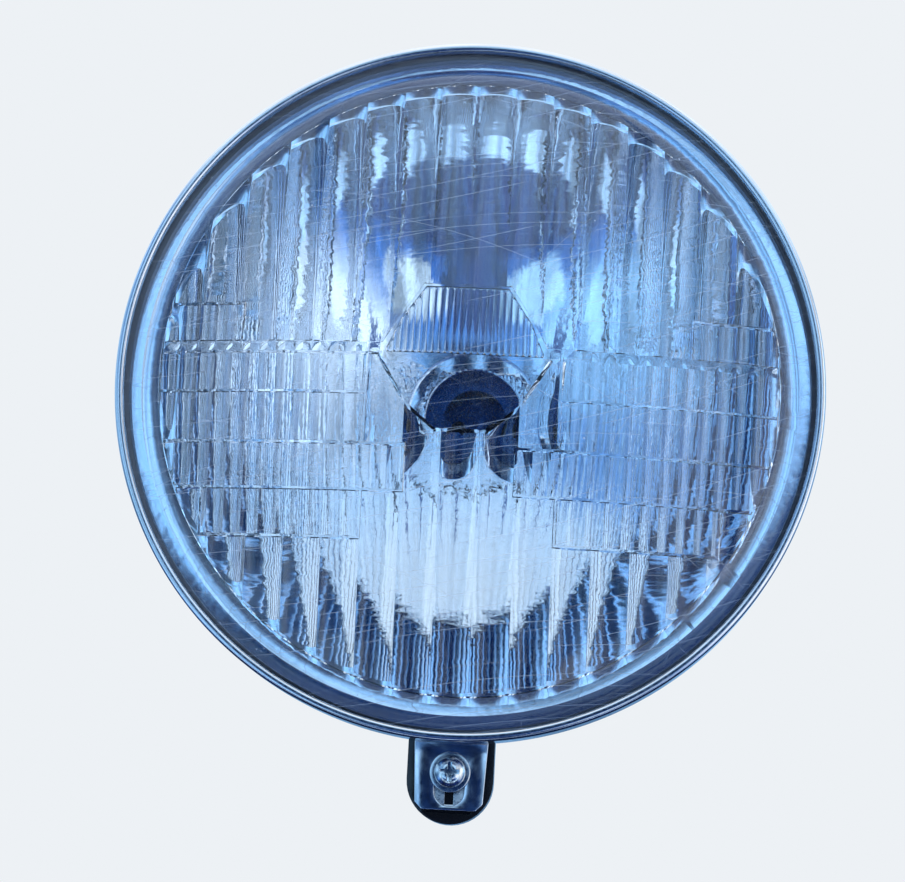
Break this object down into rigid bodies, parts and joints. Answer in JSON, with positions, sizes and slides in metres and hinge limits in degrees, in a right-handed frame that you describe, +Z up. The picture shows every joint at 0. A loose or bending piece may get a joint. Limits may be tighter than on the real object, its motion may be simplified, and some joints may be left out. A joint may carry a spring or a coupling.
{
  "type": "motorcycle headlamp",
  "caption": "Round headlamp with a fluted domed lens in a chromed rim, a paraboloid reflector and a black bowl with side bolt bushes.",
  "frame": {"origin": "where the lamp axis crosses the line through the two side bolt bushes", "axes": "-Y along the lamp axis towards the lens, +Z up, +X to the right for someone who faces the lens"},
  "size_m": [0.16, 0.0937, 0.1777],
  "materials": {
    "lens_clear": "clear moulded, fluted inside",
    "seal_rubber": "matt",
    "reflector_coat": "vapour-coated mirror",
    "rim_chrome": "bright chrome plate",
    "spring_steel": "zinc plated",
    "bowl_plastic": "gloss black moulded",
    "bush_brass": "turned brass",
    "bulb_glass": "clear blown glass",
    "holder_steel": "zinc plated",
    "plate_phenolic": "pressed phenolic board",
    "boot_rubber": "satin",
    "zinc_steel": "bright zinc plated"
  },
  "bodies": {
    "root": {"lens": "lens_clear", "lens_seal": "seal_rubber", "reflector": "reflector_coat", "rim": "rim_chrome", "rim_tab": "rim_chrome", "rim_hook": "rim_chrome", "clip_upper_left": "spring_steel", "clip_upper_right": "spring_steel", "clip_lower_left": "spring_steel", "clip_lower_right": "spring_steel", "bowl": "bowl_plastic", "bush_left": "bush_brass", "bush_right": "bush_brass", "bulb": "bulb_glass", "bulb_holder": "holder_steel", "contact_plate": "plate_phenolic", "terminal_left": "bush_brass", "terminal_right": "bush_brass", "holder_boot": "boot_rubber", "loom_grommet": "boot_rubber", "fixing_screw": "zinc_steel", "screw_washer": "zinc_steel", "spring_nut": "spring_steel"}
  },
  "joints": []
}
